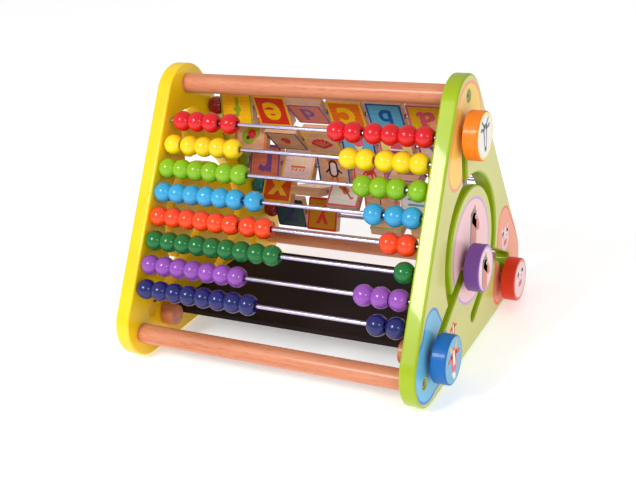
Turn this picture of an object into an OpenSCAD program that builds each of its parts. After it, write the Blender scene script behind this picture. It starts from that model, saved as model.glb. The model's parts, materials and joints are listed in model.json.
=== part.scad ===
// Wooden prism activity centre: two rounded triangular panels joined by three dowels, with an
// abacus on the front slope, flip tiles on the rear slope, a blackboard between the feet and a
// sliding-knob maze cut through each panel.
// +X runs along the dowels to the green panel, +Y to the tile side, +Z up. The origin is on the
// resting surface, midway between the panels and between the feet. Millimetres.

/* [Panels] */
// Distance between the centres of the two lower corner arcs
base_spread = 240; // [225:1:300]
// Height of the top corner arc's centre above the lower ones
apex_rise = 200; // [180:1:250]
// Radius of the corner arcs
corner_r = 37.3; // [34:0.1:48]
// Thickness of a panel
panel_t = 16; // [12:0.5:22]
// Clear distance between the panels
inner_w = 290; // [276:1:380]

/* [Dowels] */
// Diameter of the three dowels
dowel_d = 20; // [16:0.5:24]
// Distance from a corner arc's centre out to its dowel
dowel_out = 17.2; // [14:0.1:20]
// Depth of a dowel's socket in a panel
dowel_seat = 6; // [3:0.5:9]

/* [Screws] */
// Diameter of a screw's head
head_d = 9; // [7:0.5:12]
// Height of a screw's head
head_h = 3; // [2:0.5:5]
// Depth of the head's top below the panel's outer face
head_sink = 1; // [0.5:0.5:2]
// Diameter of a screw's shank
shank_d = 4; // [3:0.5:5]
// Length of a screw under its head
screw_len = 40; // [30:1:60]

/* [Abacus] */
// Number of abacus rods
abacus_rows = 8; // [4:1:8]
// Diameter of every steel rod
rod_d = 4; // [3:0.5:5]
// Depth of a rod's hole in a panel
rod_seat = 8; // [4:0.5:11]
// Distance from the line of the corner arc centres out to the abacus rods
rod_out = 27.4; // [24:0.1:30]
// Distance down the slope from the top arc's centre to the first abacus rod
first_rod = 30.2; // [26:0.1:40]
// Distance up the slope from the foot arc's centre to the last abacus rod
last_rod = 29.4; // [26:0.1:40]
// Diameter of a bead
bead_d = 20.6; // [16:0.1:21]
// Width of a bead along its rod
bead_w = 16.7; // [12:0.1:18]
// Play between neighbouring beads
bead_play = 0.1; // [0.1:0.1:1]
// Clearance of a bead's bore over its rod, on the diameter
bead_slack = 2; // [1:0.1:3]

/* [Flip tiles] */
// Number of tile rods
tile_rows = 5; // [3:1:5]
// Width and height of a tile
tile_w = 39; // [30:0.5:41]
// Thickness of a tile
tile_t = 10; // [8:0.5:12]
// Radius of a tile's corners
tile_corner = 2; // [1:0.5:4]
// Clearance of a tile's bore over its rod, on the diameter
tile_slack = 1; // [0.5:0.1:2]
// Free length left on a tile rod
tile_play = 15.6; // [8:0.1:30]
// Distance down the slope from the top arc's centre to the first tile rod
first_tile_rod = 35; // [30:0.5:44]
// Distance up the slope from the foot arc's centre to the last tile rod
last_tile_rod = 17.4; // [8:0.1:22]
// Distance from the line of the corner arc centres out to the tile rods
tile_rod_out = 24.5; // [20:0.1:30]
// Diameter of a spacer bead
spacer_d = 20; // [16:0.5:21]
// Width of a spacer bead along its rod
spacer_w = 14; // [12:0.5:17]
// Gap on each side of a spacer bead
spacer_gap = 0.6; // [0.4:0.1:2]

/* [Blackboard] */
// Distance from a foot arc's centre in to the board's edge
board_in = 39.5; // [38.5:0.5:60]
// Thickness of the board
board_t = 5; // [3:0.5:8]
// Height of the board's underside above the resting surface
board_z = 28; // [24:0.5:30]
// Depth of the board's groove in a panel
board_seat = 5; // [3:0.5:8]

/* [Maze slots] */
// Clearance of every slot around a slider's stem, on the width
slot_slack = 1.5; // [0.8:0.1:3]
// Radius of the ring slot's centre line
ring_r = 68; // [60:1:72]
// Height of the ring's centre
ring_z = 103; // [96:1:110]
// Slope of the straight slots that run to the feet
fall_angle = 27.7; // [24:0.1:30]
// Height at which both sloping slots would meet, in the middle of the panel
fall_top_z = 104; // [98:1:110]
// Distance from the panel's middle to the upper end of the inner sloping slot
hub_y = 20; // [16:1:30]
// Distance from a foot arc's centre in to the sloping slot's lower end
foot_in = 7; // [4:1:14]
// Distance from a foot arc's centre in to the short upright slot
leg_in = 27; // [24:1:40]
// Distance from the panel's middle forward to the upright slot above the ring
stalk_y = 15; // [10:1:18]
// Distance from the top arc's centre down to the top of that slot
stalk_top = 15; // [12:1:24]
// Length of the short level slot at its top
stalk_arm = 21; // [16:1:24]
// Height of the lower end of both upright slots near the feet
leg_z = 31; // [29:0.5:40]
// Height of the blind slot's end
blind_z = 32; // [30:1:40]
// Distance from the panel's middle to the blind slot's end
blind_y = 2; // [0:1:10]

/* [Sliders] */
// Diameter of a knob
knob_d = 46; // [38:0.5:48]
// Thickness of a knob
knob_t = 14.7; // [10:0.1:20]
// Gap between a knob and its panel
knob_gap = 5.3; // [2:0.1:8]
// Radius of a knob's rounded edge
knob_edge = 1.5; // [0.5:0.1:3]
// Diameter of a slider's stem
stem_d = 10; // [7:0.1:11]
// Depth of the stem in its knob
stem_seat = 10; // [6:0.5:12]
// Diameter of the retaining peg inside the panel
peg_d = 22; // [18:0.5:26]
// Length of the retaining peg
peg_t = 14; // [8:0.5:18]
// Gap between the peg and the panel
peg_gap = 0.5; // [0.3:0.1:2]

/* [Hidden] */

// Drawing quality of round shapes
$fn = 64;
// Clearance around a glued or screwed piece in its hole, on the radius
fit = 0.05;
// Gap kept between pieces that move past or against each other
gap = 0.3;
// How far a cutter passes a face
over = 1;

// Places for tiles on each tile rod
tile_places = 6;

// Sizes that follow from a clearance
bead_bore = rod_d + bead_slack;
tile_bore = rod_d + tile_slack;
slot_w = stem_d + slot_slack;
board_l = base_spread - 2 * board_in;

// Colours of the painted and the natural pieces
yellow = [0.98, 0.76, 0.03];
green = [0.76, 0.84, 0.27];
beech = [0.86, 0.60, 0.42];
steel = [0.80, 0.80, 0.84];
slate = [0.16, 0.12, 0.13];

// The slope that both sides share, as an angle above the base and a length between arc centres
slope_angle = atan2(apex_rise, base_spread / 2);
slope_len = norm([base_spread / 2, apex_rise]);

// Corner arc centres, as [y, z]
top_c = [0, corner_r + apex_rise];
front_c = [-base_spread / 2, corner_r];
rear_c = [base_spread / 2, corner_r];
middle_c = (top_c + front_c + rear_c) / 3;

function unit(v) = v / norm(v);
// Outward normal of a slope, side -1 for the front and +1 for the rear
function slope_out(side) = [side * sin(slope_angle), cos(slope_angle)];
// Point on a rod line, s down the slope from the top arc's centre
function on_slope(side, s, out) =
    top_c + s * [side * cos(slope_angle), -sin(slope_angle)] + out * slope_out(side);
function dowel_at(c) = c + dowel_out * unit(c - middle_c);

rod_pitch = (slope_len - first_rod - last_rod) / (abacus_rows - 1);
tile_rod_pitch = (slope_len - first_tile_rod - last_tile_rod) / (tile_rows - 1);
function abacus_rod_at(row) = on_slope(-1, first_rod + (row - 1) * rod_pitch, rod_out);
function tile_rod_at(row) =
    on_slope(1, first_tile_rod + (row - 1) * tile_rod_pitch, tile_rod_out);

// Ends of the maze slots, as [y, z]
function fall_z(y) = fall_top_z - abs(y) * tan(fall_angle);
function on_fall(y) = [y, fall_z(y)];
// Where the ring meets the sloping slots: its angle below the level through the ring's centre
ring_end = fall_angle - asin((fall_top_z - ring_z) * cos(fall_angle) / ring_r);
foot_y = base_spread / 2 - foot_in;
leg_y = base_spread / 2 - leg_in;
stalk_z = top_c[1] - stalk_top;
stalk_foot_z = ring_z + sqrt(ring_r * ring_r - stalk_y * stalk_y);
// The blind slot leaves the right-hand sloping slot just outside the ring
branch_y = ring_r * cos(ring_end) + slot_w / 2;

// Abacus rows from the top. For each side: bead count, distance from the panel to the first bead,
// number of beads before the small gap, and that gap
LEFT_BEADS = [[4, 8, 3, 5], [5, 2, 1, 2.4], [6, gap, 6, 0], [7, gap, 6, 4.5],
              [8, gap, 6, 3], [9, gap, 9, 0], [7, gap, 7, 0], [8, gap, 8, 0]];
RIGHT_BEADS = [[6, 4, 4, 4], [5, 5, 3, 3], [4, 2, 1, 4.5], [3, 4, 2, 4],
               [2, 5, 2, 0], [1, 3.4, 1, 0], [3, 4.2, 1, 1], [2, 3.2, 1, 1.5]];
BEAD_COLOURS = [[0.86, 0.05, 0.08], [0.99, 0.85, 0.02], [0.55, 0.75, 0.05], [0.25, 0.66, 0.84],
                [0.96, 0.30, 0.06], [0.03, 0.42, 0.16], [0.60, 0.30, 0.70], [0.08, 0.12, 0.45]];

// Flip tiles: rod row, place along the row from the left panel, and turn on the rod at rest
TILES = [[1, 5, -5], [1, 4, -4], [1, 3, -4], [1, 2, 14], [1, 1, -10], [1, 0, -32],
         [2, 5, -10], [2, 4, -14], [2, 3, -18], [2, 2, 4], [2, 1, 14], [2, 0, -50],
         [3, 5, -20], [3, 4, 80], [3, 3, -30], [3, 2, -23], [3, 1, -62], [3, 0, -51],
         [4, 5, -25], [4, 4, -22], [4, 3, -28], [4, 2, -78], [4, 1, 44], [4, 0, -62],
         [5, 1, -50], [5, 0, -20], [5, 3, 80], [5, 4, -12]];
TILE_COLOURS = [[0.90, 0.70, 0.20], [0.25, 0.50, 0.72], [0.90, 0.42, 0.12], [0.55, 0.35, 0.60],
                [0.80, 0.12, 0.10], [0.92, 0.66, 0.15]];
SPACER_COLOURS = [[0.45, 0.03, 0.06], [0.80, 0.72, 0.20], [0.42, 0.45, 0.10], [0.10, 0.40, 0.45],
                  [0.42, 0.05, 0.06]];
tile_pitch = (inner_w - 2 * spacer_gap - spacer_w - tile_play) / tile_places;
first_tile_x = -inner_w / 2 + 2 * spacer_gap + spacer_w + tile_w / 2;

// Turns a drawing in [y, z] into a plate that starts at x and is t thick towards +X
module plate(x, t) {
    translate([x, 0, 0]) rotate([90, 0, 90]) linear_extrude(t) children();
}

// A round bar or hole along X
module x_bar(x, at, d, len) {
    translate([x, at[0], at[1]]) rotate([0, 90, 0]) cylinder(d = d, h = len);
}

module panel_outline() {
    n_front = corner_r * slope_out(-1);
    n_rear = corner_r * slope_out(1);
    down = [0, -corner_r];
    polygon([top_c + n_rear, top_c + n_front, front_c + n_front, front_c + down,
             rear_c + down, rear_c + n_rear]);
    for (c = [top_c, front_c, rear_c]) translate(c) circle(corner_r);
}

// A straight slot with round ends between two points
module slot(a, b) {
    side = slot_w / 2 * unit([a[1] - b[1], b[0] - a[0]]);
    polygon([a + side, b + side, b - side, a - side]);
    for (p = [a, b]) translate(p) circle(slot_w / 2);
}

module ring_slot() {
    reach = 2 * ring_r;
    translate([0, ring_z]) difference() {
        circle(ring_r + slot_w / 2);
        circle(ring_r - slot_w / 2);
        polygon([[0, 0], reach * [-cos(ring_end), -sin(ring_end)], [-reach, -2 * reach],
                 [reach, -2 * reach], reach * [cos(ring_end), -sin(ring_end)]]);
    }
}

module maze() {
    ring_slot();
    slot(on_fall(-hub_y), on_fall(-foot_y));
    slot(on_fall(ring_r * cos(ring_end)), on_fall(foot_y));
    for (side = [-1, 1]) slot(on_fall(side * leg_y), [side * leg_y, leg_z]);
    slot([-stalk_y, stalk_foot_z], [-stalk_y, stalk_z]);
    slot([-stalk_y, stalk_z], [-stalk_y + stalk_arm, stalk_z]);
    slot(on_fall(branch_y), [-blind_y, blind_z]);
}

// A panel with its maze. side is -1 for the left one and +1 for the right one
module panel(side) {
    inner = side * inner_w / 2;
    outer = side * (inner_w / 2 + panel_t);
    low = min(inner, outer);
    difference() {
        plate(low, panel_t) difference() {
            panel_outline();
            maze();
        }
        for (c = [top_c, front_c, rear_c]) {
            x_bar(inner - dowel_seat, dowel_at(c), dowel_d + 2 * fit, 2 * dowel_seat);
            x_bar(low - over, dowel_at(c), shank_d + 2 * fit, panel_t + 2 * over);
            x_bar(outer - head_sink - head_h, dowel_at(c), head_d + 2 * fit, 2 * (head_sink + head_h));
        }
        for (row = [1 : abacus_rows])
            x_bar(inner - rod_seat, abacus_rod_at(row), rod_d + 2 * fit, 2 * rod_seat);
        for (row = [1 : tile_rows])
            x_bar(inner - rod_seat, tile_rod_at(row), rod_d + 2 * fit, 2 * rod_seat);
        translate([inner - board_seat, -board_l / 2 - fit, board_z - fit])
            cube([2 * board_seat, board_l + 2 * fit, board_t + 2 * fit]);
    }
}

module left_panel() {
    color(yellow) panel(-1);
}

module right_panel() {
    color(green) panel(1);
}

// A dowel with a pilot hole for a screw in each end
module dowel(c) {
    half = inner_w / 2 + dowel_seat - fit;
    pilot = screw_len - panel_t + head_sink + head_h + over;
    color(beech) difference() {
        x_bar(-half, dowel_at(c), dowel_d, 2 * half);
        for (end = [-1, 1])
            x_bar(end * (inner_w / 2 + over) - pilot, dowel_at(c), shank_d + 2 * fit, 2 * pilot);
    }
}

module dowel_screws() {
    color(steel) for (side = [-1, 1], c = [top_c, front_c, rear_c]) {
        top = inner_w / 2 + panel_t - head_sink;
        x_bar(side > 0 ? top - head_h : -top, dowel_at(c), head_d, head_h);
        x_bar(side > 0 ? top - head_h - screw_len : -top + head_h, dowel_at(c), shank_d, screw_len);
    }
}

module blackboard() {
    half = inner_w / 2 + board_seat - fit;
    color(slate) translate([-half, -board_l / 2, board_z]) cube([2 * half, board_l, board_t]);
}

module rod(at) {
    half = inner_w / 2 + rod_seat - fit;
    color(steel) x_bar(-half, at, rod_d, 2 * half);
}

module abacus_rods() {
    for (row = [1 : abacus_rows]) rod(abacus_rod_at(row));
}

module tile_rods() {
    for (row = [1 : tile_rows]) rod(tile_rod_at(row));
}

// A ball with flat ends and a bore along X, centred on the origin
module bead(d, w, bore) {
    rotate([0, 90, 0]) rotate_extrude() intersection() {
        circle(d = d);
        translate([bore / 2, -w / 2]) square([d, w]);
    }
}

module spacer_beads() {
    x = -inner_w / 2 + spacer_gap + spacer_w / 2;
    for (row = [1 : tile_rows]) {
        at = tile_rod_at(row);
        color(SPACER_COLOURS[row - 1]) translate([x, at[0], at[1]]) bead(spacer_d, spacer_w, bead_bore);
    }
}

// The beads of one abacus row that are parked against one panel
module bead_group(row, side) {
    spec = (side < 0 ? LEFT_BEADS : RIGHT_BEADS)[row - 1];
    at = abacus_rod_at(row);
    if (row <= abacus_rows) color(BEAD_COLOURS[row - 1]) for (i = [0 : spec[0] - 1]) {
        from_panel = spec[1] + bead_w / 2 + i * (bead_w + bead_play) + (i < spec[2] ? 0 : spec[3]);
        translate([side * (inner_w / 2 - from_panel), at[0], at[1]]) bead(bead_d, bead_w, bead_bore);
    }
}

module rounded_square(w, r) {
    square([w - 2 * r, w], center = true);
    square([w, w - 2 * r], center = true);
    for (x = [-1, 1], y = [-1, 1]) translate([x, y] * (w / 2 - r)) circle(r);
}

// A flip tile on its rod, lying along the rear slope but for its own turn
module flip_tile(index) {
    spec = TILES[index];
    at = tile_rod_at(spec[0]);
    if (spec[0] <= tile_rows)
        color(TILE_COLOURS[index % len(TILE_COLOURS)])
        translate([first_tile_x + spec[1] * tile_pitch, at[0], at[1]])
        rotate([90 - slope_angle + spec[2], 0, 0]) difference() {
            rotate([90, 0, 0]) translate([0, 0, -tile_t / 2])
                linear_extrude(tile_t) rounded_square(tile_w, tile_corner);
            x_bar(-tile_w, [0, 0], tile_bore, 2 * tile_w);
        }
}

// A slider: painted knob outside, stem through the slot, and a natural peg inside
module slider(side, at, paint) {
    face = inner_w / 2 + panel_t;
    mirror([side < 0 ? 1 : 0, 0, 0]) {
        color(paint) difference() {
            translate([face + knob_gap, at[0], at[1]]) rotate([0, 90, 0]) knob_body();
            x_bar(face, at, stem_d + 2 * fit, knob_gap + stem_seat + fit);
        }
        color(beech) x_bar(inner_w / 2 - peg_gap - peg_t + over, at, stem_d,
                           peg_t - over + peg_gap + panel_t + knob_gap + stem_seat);
        color(beech) difference() {
            x_bar(inner_w / 2 - peg_gap - peg_t, at, peg_d, peg_t);
            x_bar(inner_w / 2 - peg_gap - peg_t + over - fit, at, stem_d + 2 * fit, peg_t);
        }
    }
}

// A knob's disc with a quarter-round on both rims
module knob_body() {
    rotate_extrude() difference() {
        square([knob_d / 2, knob_t]);
        for (end = [0, 1]) translate([knob_d / 2 - knob_edge, end * knob_t]) mirror([0, end]) difference() {
            translate([0, -over]) square([2 * knob_edge, knob_edge + over]);
            translate([0, knob_edge]) circle(knob_edge);
        }
    }
}

// Where each slider is parked in its maze
module orange_slider() {
    slider(1, [-stalk_y, stalk_z], [0.98, 0.50, 0.02]);
}

module purple_slider() {
    slider(1, on_fall(-hub_y), [0.50, 0.30, 0.62]);
}

module red_slider() {
    slider(1, [leg_y, leg_z], [0.88, 0.14, 0.05]);
}

module blue_slider() {
    slider(1, on_fall(-foot_y), [0.02, 0.38, 0.68]);
}

module left_front_slider() {
    slider(-1, [-leg_y, leg_z], [0.88, 0.14, 0.05]);
}

module left_rear_slider() {
    slider(-1, on_fall(foot_y), [0.02, 0.38, 0.68]);
}

left_panel();
right_panel();
dowel(top_c);  // top_dowel
dowel(front_c);  // front_dowel
dowel(rear_c);  // rear_dowel
dowel_screws();
blackboard();
abacus_rods();
tile_rods();
spacer_beads();
bead_group(1, -1);  // beads_1_left
bead_group(1, 1);  // beads_1_right
bead_group(2, -1);  // beads_2_left
bead_group(2, 1);  // beads_2_right
bead_group(3, -1);  // beads_3_left
bead_group(3, 1);  // beads_3_right
bead_group(4, -1);  // beads_4_left
bead_group(4, 1);  // beads_4_right
bead_group(5, -1);  // beads_5_left
bead_group(5, 1);  // beads_5_right
bead_group(6, -1);  // beads_6_left
bead_group(6, 1);  // beads_6_right
bead_group(7, -1);  // beads_7_left
bead_group(7, 1);  // beads_7_right
bead_group(8, -1);  // beads_8_left
bead_group(8, 1);  // beads_8_right
flip_tile(0);  // tile_a
flip_tile(1);  // tile_b
flip_tile(2);  // tile_c
flip_tile(3);  // tile_d
flip_tile(4);  // tile_e
flip_tile(5);  // tile_f
flip_tile(6);  // tile_g
flip_tile(7);  // tile_h
flip_tile(8);  // tile_i
flip_tile(9);  // tile_j
flip_tile(10);  // tile_k
flip_tile(11);  // tile_l
flip_tile(12);  // tile_m
flip_tile(13);  // tile_n
flip_tile(14);  // tile_o
flip_tile(15);  // tile_p
flip_tile(16);  // tile_q
flip_tile(17);  // tile_r
flip_tile(18);  // tile_s
flip_tile(19);  // tile_t
flip_tile(20);  // tile_u
flip_tile(21);  // tile_v
flip_tile(22);  // tile_w
flip_tile(23);  // tile_x
flip_tile(24);  // tile_y
flip_tile(25);  // tile_z
flip_tile(26);  // tile_star
flip_tile(27);  // tile_sun
orange_slider();
purple_slider();
red_slider();
blue_slider();
left_front_slider();
left_rear_slider();
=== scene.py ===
# %% [markdown]
# # A wooden prism activity centre
# Two triangular panels stand up on three beech dowels. Between them are an abacus, a wall of flip
# tiles and a blackboard, and each panel has a maze with round knobs that slide in its slots.
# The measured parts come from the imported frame. This lesson gives them their looks: rounded and
# painted wood, printed pictures, lacquered beads, polished rods and a plain studio.

# %% Load the measured parts
import json
import math
import bmesh
import bpy
from mathutils import Matrix, Vector

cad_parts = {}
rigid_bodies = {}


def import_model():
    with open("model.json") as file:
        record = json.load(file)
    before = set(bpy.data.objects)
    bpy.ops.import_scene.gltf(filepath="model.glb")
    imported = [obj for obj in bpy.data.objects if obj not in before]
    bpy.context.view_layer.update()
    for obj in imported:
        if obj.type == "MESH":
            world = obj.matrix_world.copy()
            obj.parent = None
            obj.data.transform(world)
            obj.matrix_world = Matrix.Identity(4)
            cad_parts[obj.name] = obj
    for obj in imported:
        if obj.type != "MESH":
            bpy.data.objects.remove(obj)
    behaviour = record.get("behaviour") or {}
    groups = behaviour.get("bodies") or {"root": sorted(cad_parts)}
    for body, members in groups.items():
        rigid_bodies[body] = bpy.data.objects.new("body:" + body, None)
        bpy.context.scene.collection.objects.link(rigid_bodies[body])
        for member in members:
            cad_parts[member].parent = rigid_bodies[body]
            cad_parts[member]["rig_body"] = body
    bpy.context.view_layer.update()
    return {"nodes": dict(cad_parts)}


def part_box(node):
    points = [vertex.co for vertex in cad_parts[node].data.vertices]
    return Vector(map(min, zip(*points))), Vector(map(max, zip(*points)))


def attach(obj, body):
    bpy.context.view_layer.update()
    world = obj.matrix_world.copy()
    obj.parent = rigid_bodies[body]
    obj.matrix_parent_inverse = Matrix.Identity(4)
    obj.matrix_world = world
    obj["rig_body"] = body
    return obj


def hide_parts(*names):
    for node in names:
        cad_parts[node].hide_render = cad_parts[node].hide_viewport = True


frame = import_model()
nodes = frame["nodes"]

# %% [markdown]
# ## Working in millimetres
# Blender works in metres and a toy is drawn in millimetres, so every length below is written as
# a number times MM. The frame's boxes give the places of all that has to fit something else.

# %% Units and boxes
MM = 0.001
# points closer than this are the same point
SAME = 0.001 * MM
LEFT, RIGHT = -1, 1


def box(node):
    low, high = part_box(node)
    return low, high, (low + high) / 2


panel_low, panel_high, _ = box("right_panel")
inner_x, outer_x = panel_low.x, panel_high.x
print("panels run from", round(inner_x / MM, 1), "to", round(outer_x / MM, 1), "mm off the middle")

# %% [markdown]
# ## One way to finish every piece
# A new piece starts as a bmesh. This helper turns it into an object that rides on its body, gives
# it its materials, hides the CAD nodes that it replaces, and shades it smooth but for edges sharper
# than the angle given. Weighted normals keep the large flat faces flat beside their small rounded
# rims.

# %% Helper: from bmesh to a riding piece
SHARP = math.radians(40)


def finish_piece(name, bm, body, materials, replaces=()):
    bmesh.ops.recalc_face_normals(bm, faces=bm.faces)
    mesh = bpy.data.meshes.new(name)
    bm.to_mesh(mesh)
    bm.free()
    for material in materials:
        mesh.materials.append(material)
    mesh.shade_smooth()
    mesh.set_sharp_from_angle(angle=SHARP)
    piece = bpy.data.objects.new(name, mesh)
    bpy.context.scene.collection.objects.link(piece)
    weighted = piece.modifiers.new("weighted normals", "WEIGHTED_NORMAL")
    weighted.keep_sharp = True
    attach(piece, body)
    if replaces:
        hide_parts(*replaces)
    return piece


def body_of(node):
    return nodes[node]["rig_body"]


# %% Helper: the separate solids inside one CAD node
def merged_copy(node):
    bm = bmesh.new()
    bm.from_mesh(nodes[node].data)
    bmesh.ops.remove_doubles(bm, verts=bm.verts, dist=SAME)
    return bm


def solids_in(node):
    """The (lowest corner, highest corner) of each loose solid in a node, in order along X."""
    bm = merged_copy(node)
    left, found = set(bm.verts), []
    while left:
        reached = [left.pop()]
        for vert in reached:
            for edge in vert.link_edges:
                other = edge.other_vert(vert)
                if other in left:
                    left.discard(other)
                    reached.append(other)
        low = Vector(min(v.co[i] for v in reached) for i in range(3))
        high = Vector(max(v.co[i] for v in reached) for i in range(3))
        found.append((low, high))
    bm.free()
    return sorted(found, key=lambda pair: pair[0].x)


print("a bead row holds", len(solids_in("beads_1_left")), "loose beads")

# %% [markdown]
# ## Nodes of a material
# Each finish is a Principled shader fed by a few texture nodes. They all read Object coordinates,
# so a grain or a print stays with its piece when the piece moves.

# %% Helpers: materials and their texture nodes
def srgb(red, green, blue):
    """A colour as a paint chart gives it, 0 to 255, turned into the linear values of a shader."""
    def linear(value):
        value /= 255
        return value / 12.92 if value <= 0.04045 else ((value + 0.055) / 1.055) ** 2.4
    return (linear(red), linear(green), linear(blue), 1)


def node(tree, kind, **settings):
    made = tree.nodes.new(kind)
    for key, value in settings.items():
        setattr(made, key, value)
    return made


def feed(tree, made, **inputs):
    """Sets or links a node's inputs by name, with _ for a space."""
    for key, value in inputs.items():
        socket = made.inputs[key.replace("_", " ")]
        if isinstance(value, bpy.types.NodeSocket):
            tree.links.new(value, socket)
        else:
            socket.default_value = value
    return made


def new_finish(name, roughness, coat=0.0, coat_roughness=0.05, metallic=0.0, specular=0.3):
    material = bpy.data.materials.new(name)
    material.use_nodes = True
    tree = material.node_tree
    shader = tree.nodes["Principled BSDF"]
    feed(tree, shader, Roughness=roughness, Metallic=metallic, Specular_IOR_Level=specular)
    feed(tree, shader, Coat_Weight=coat, Coat_Roughness=coat_roughness)
    place = node(tree, "ShaderNodeTexCoord").outputs["Object"]
    return material, tree, shader, place


def noise(tree, place, scale, detail=3.0, stretch=(1, 1, 1), roughness=0.5):
    turned = feed(tree, node(tree, "ShaderNodeMapping"), Vector=place, Scale=stretch)
    made = node(tree, "ShaderNodeTexNoise")
    feed(tree, made, Vector=turned.outputs[0], Scale=scale, Detail=detail, Roughness=roughness)
    return made.outputs["Fac"]


def ramp(tree, factor, *stops):
    made = node(tree, "ShaderNodeValToRGB")
    elements = made.color_ramp.elements
    while len(elements) < len(stops):
        elements.new(0.5)
    for element, (position, colour) in zip(elements, stops):
        element.position, element.color = position, colour
    feed(tree, made, Fac=factor)
    return made.outputs["Color"]


def mix(tree, factor, first, second, blend="MIX"):
    made = node(tree, "ShaderNodeMix", data_type="RGBA", blend_type=blend)
    for socket, value in ((0, factor), (6, first), (7, second)):
        if isinstance(value, bpy.types.NodeSocket):
            tree.links.new(value, made.inputs[socket])
        else:
            made.inputs[socket].default_value = value
    return made.outputs[2]


def bump(tree, shader, height, strength, distance):
    made = feed(tree, node(tree, "ShaderNodeBump"), Height=height, Strength=strength,
                Distance=distance)
    tree.links.new(made.outputs[0], shader.inputs["Normal"])


def shade_range(colour, darker, lighter):
    """The same colour a little darker and a little lighter, for slow variation."""
    return (tuple(c * darker for c in colour[:3]) + (1,),
            tuple(min(1, c * lighter) for c in colour[:3]) + (1,))


# %% [markdown]
# ## Painted wood
# Paint on beech is never one flat colour: it pools a little, and the grain still lifts it in
# fine lines. A slow noise shades the colour, a fine one makes the orange-peel, and a clear coat
# gives the lacquer its sharp reflection over a softer base.

# %% Finish: paint
def paint(name, colour, roughness=0.4, coat=0.3, grain=(3, 1, 1), peel=0.10):
    material, tree, shader, place = new_finish(name, roughness, coat)
    slow = noise(tree, place, 22, 4)
    low, high = shade_range(colour, 0.90, 1.06)
    tone = ramp(tree, slow, (0.3, low), (0.7, high))
    tree.links.new(tone, shader.inputs["Base Color"])
    fine = noise(tree, place, 420, 2, grain)
    bump(tree, shader, fine, peel, 0.25 * MM)
    return material


# %% [markdown]
# ## Beech
# Steamed beech is pinkish brown, with a faint band of growth rings and many short dark flecks
# along the grain. Here the grain runs along X, as it does in every dowel. A noise stretched
# along X draws the bands, and a much finer one the flecks.

# %% Finish: beech
BEECH_LIGHT, BEECH_DARK = srgb(218, 142, 104), srgb(200, 120, 84)


def beech(name, light=BEECH_LIGHT, dark=BEECH_DARK, along=(1, 14, 14), coat=0.25):
    material, tree, shader, place = new_finish(name, 0.42, coat, 0.18)
    bands = noise(tree, place, 9, 5, along, 0.6)
    tone = ramp(tree, bands, (0.35, dark), (0.62, light))
    flecks = noise(tree, place, 90, 2, tuple(1 + (a - 1) * 0.6 for a in along), 0.5)
    fleck_tone = ramp(tree, flecks, (0.34, shade_range(dark, 0.72, 1)[0]), (0.44, (1, 1, 1, 1)))
    coloured = mix(tree, 0.25, tone, fleck_tone, "MULTIPLY")
    tree.links.new(coloured, shader.inputs["Base Color"])
    bump(tree, shader, flecks, 0.12, 0.2 * MM)
    return material


BEECH = beech("beech")
TILE_WOOD = beech("tile beech", srgb(232, 182, 150), srgb(212, 152, 118), (2, 16, 16), 0.15)
print("mixed", len(bpy.data.materials), "finishes so far")

# %% [markdown]
# ## Steel and slate
# The rods are drawn bright steel: fine lines along X vary the roughness. The screws are duller.
# The blackboard is matt dark paint with a slight cloud where chalk was wiped away.

# %% Finishes: rods, screws and blackboard
def drawn_steel(name, tint, low, high):
    material, tree, shader, place = new_finish(name, low, 0, metallic=1.0)
    feed(tree, shader, Base_Color=tint)
    lines = noise(tree, place, 60, 2, (1, 30, 30))
    spread = feed(tree, node(tree, "ShaderNodeMapRange"), Value=lines, To_Min=low, To_Max=high)
    tree.links.new(spread.outputs[0], shader.inputs["Roughness"])
    bump(tree, shader, lines, 0.04, 0.1 * MM)
    return material


def blackboard_paint(name):
    material, tree, shader, place = new_finish(name, 0.6, specular=0.15)
    cloud = noise(tree, place, 7, 6, (1, 2, 1), 0.65)
    tone = ramp(tree, cloud, (0.35, srgb(26, 16, 18)), (0.75, srgb(42, 29, 32)))
    tree.links.new(tone, shader.inputs["Base Color"])
    bump(tree, shader, noise(tree, place, 900, 2), 0.15, 0.1 * MM)
    return material


ROD_STEEL = drawn_steel("bright steel", srgb(196, 190, 216), 0.12, 0.26)
SCREW_STEEL = drawn_steel("screw steel", srgb(165, 160, 158), 0.28, 0.45)
SLATE = blackboard_paint("blackboard paint")


# %% Carry the finishes over to the CAD nodes that stay
def refinish(node_name, material):
    data = nodes[node_name].data
    data.materials.clear()
    data.materials.append(material)


for name in ("top_dowel", "front_dowel", "rear_dowel"):
    refinish(name, BEECH)
refinish("blackboard", SLATE)
refinish("abacus_rods", ROD_STEEL)
refinish("tile_rods", ROD_STEEL)

# %% [markdown]
# ## Printed faces
# Each panel carries a printed film: a pale ground with coloured spots where the knobs rest. A
# spot is made of lobes. A lobe is two circles and the band between them, and its distance is one
# small group of nodes: the nearest point on the line between the centres, less the radius there.
# The smallest distance of all the lobes is the spot's, and two limits on it give rim and fill.

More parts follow.
